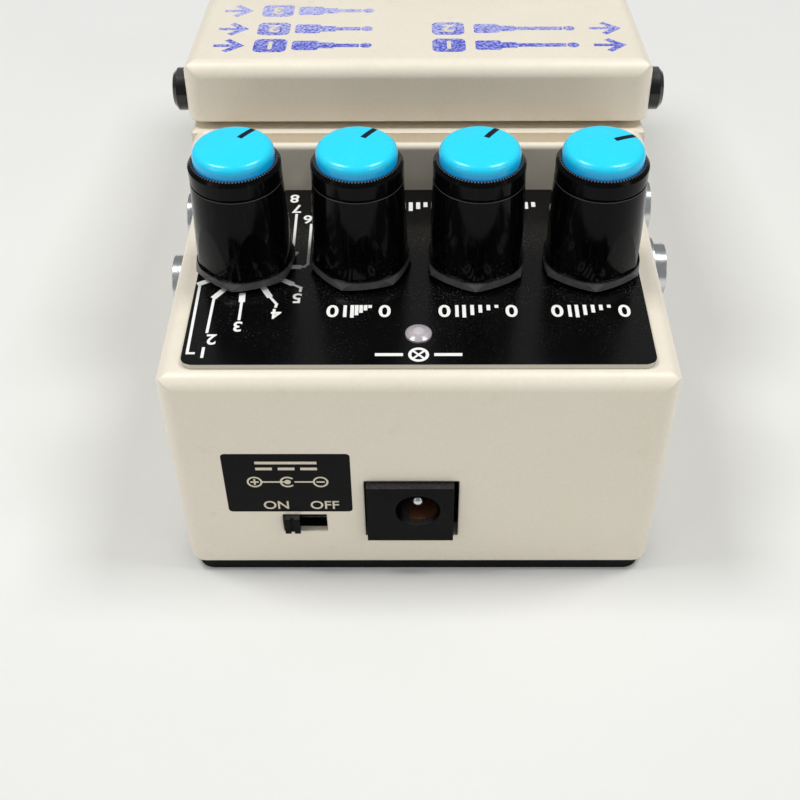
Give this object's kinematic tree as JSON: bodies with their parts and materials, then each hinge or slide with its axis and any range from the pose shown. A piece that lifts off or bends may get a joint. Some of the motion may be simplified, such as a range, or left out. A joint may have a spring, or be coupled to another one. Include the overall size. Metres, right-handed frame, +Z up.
{
  "type": "delay pedal",
  "caption": "Compact delay effects pedal with a hinged sprung treadle, a row of tall capped knobs, side plug sockets and a rear power socket and slide switch",
  "frame": {"origin": "middle of the sole on the floor, under the middle of the overall box", "axes": "+X to the player's right (input jacks), +Y towards the rear wall with the power socket, +Z up"},
  "size_m": [0.0746, 0.129, 0.0597],
  "materials": {
    "ivory_paint": "satin pearl enamel on die-cast aluminium",
    "plate_black": "gloss black printed plate",
    "knob_black": "gloss moulded plastic",
    "cap_cyan": "satin cyan moulded plastic",
    "pointer_navy": "dark navy inlay",
    "black_rubber": "matt rubber",
    "black_plastic": "matt moulded plastic",
    "steel": "plated steel",
    "chrome": "bright plated brass",
    "white_plastic": "natural nylon",
    "milky_lens": "milky diffused resin",
    "bronze": "bare spring bronze",
    "board_green": "green solder mask",
    "battery_jacket": "plain dark jacket"
  },
  "bodies": {
    "base": {"case": "ivory_paint", "control_plate": "plate_black", "rubber_sole": "black_rubber", "foot_switch": "black_plastic", "battery_snap": "black_plastic", "jack_bodies": "black_plastic", "dc_socket": "black_plastic", "board_parts": "black_plastic", "board_header": "black_plastic", "slide_switch": "steel", "bottom_plate": "steel", "bottom_screws": "steel", "mode_switch": "steel", "pots": "steel", "pot_nuts": "steel", "pot_washers": "steel", "return_spring": "steel", "jack_in_1": "chrome", "jack_in_2": "chrome", "jack_in_3": "chrome", "jack_out_1": "chrome", "jack_out_2": "chrome", "jack_nuts": "chrome", "dc_pin": "chrome", "lamp_lens": "milky_lens", "dc_contact": "bronze", "board_spacers": "bronze", "main_board": "board_green", "panel_board": "board_green", "jack_board_in": "board_green", "jack_board_out": "board_green", "battery": "battery_jacket"},
    "treadle_body": {"treadle": "ivory_paint", "treadle_pad": "black_rubber", "hinge_bush_left": "black_plastic", "hinge_bush_right": "black_plastic", "hinge_clips": "steel", "guide_bush": "white_plastic"},
    "screw_carrier": {"screw_ring": "steel"},
    "screw_body": {"thumbscrew": "steel"},
    "plunger_body": {"foot_plunger": "white_plastic"},
    "slider_body": {"slide_knob": "black_plastic"},
    "control_mode": {"knob_mode": "knob_black", "cap_mode": "cap_cyan", "pointer_mode": "pointer_navy", "shaft_mode": "steel"},
    "control_time": {"knob_time": "knob_black", "cap_time": "cap_cyan", "pointer_time": "pointer_navy", "shaft_time": "steel"},
    "control_feedback": {"knob_feedback": "knob_black", "cap_feedback": "cap_cyan", "pointer_feedback": "pointer_navy", "shaft_feedback": "steel"},
    "control_level": {"knob_level": "knob_black", "cap_level": "cap_cyan", "pointer_level": "pointer_navy", "shaft_level": "steel"}
  },
  "joints": [
    {"name": "mode_turn", "type": "hinge", "parent": "base", "child": "control_mode", "pos_m": [0.02418, 0.04023, 0.05], "axis": [0, 0, -1], "range_deg": [0, 290]},
    {"name": "time_turn", "type": "hinge", "parent": "base", "child": "control_time", "pos_m": [0.00806, 0.04023, 0.05], "axis": [0, 0, -1], "range_deg": [0, 300]},
    {"name": "feedback_turn", "type": "hinge", "parent": "base", "child": "control_feedback", "pos_m": [-0.00806, 0.04023, 0.05], "axis": [0, 0, -1], "range_deg": [0, 300]},
    {"name": "level_turn", "type": "hinge", "parent": "base", "child": "control_level", "pos_m": [-0.02418, 0.04023, 0.05], "axis": [0, 0, -1], "range_deg": [-31, 269]},
    {"name": "treadle_press", "type": "hinge", "parent": "base", "child": "treadle_body", "pos_m": [0, 0.0094, 0.05], "axis": [1, 0, 0], "range_deg": [0, 2.3], "stiffness_Nm_per_rad": 10, "springref_deg": -2.86, "deforming": ["return_spring"]},
    {"name": "plunger_travel", "type": "slide", "parent": "base", "child": "plunger_body", "axis": [0, 0, -1], "range_m": [0, 0.0024]},
    {"name": "screw_lift", "type": "slide", "parent": "treadle_body", "child": "screw_carrier", "axis": [0, 0, 1], "range_m": [0, 0.0052]},
    {"name": "screw_turn", "type": "hinge", "parent": "screw_carrier", "child": "screw_body", "pos_m": [0, -0.0539, 0.04], "axis": [0, 0, 1], "range_deg": [0, 1875]},
    {"name": "power_slide", "type": "slide", "parent": "base", "child": "slider_body", "axis": [-1, 0, 0], "range_m": [0, 0.0034]}
  ],
  "couplings": [
    {"joint": "plunger_travel", "follows": "treadle_press", "m_per_rad": 0.0584},
    {"joint": "screw_turn", "follows": "screw_lift", "rad_per_m": 6283.2}
  ]
}
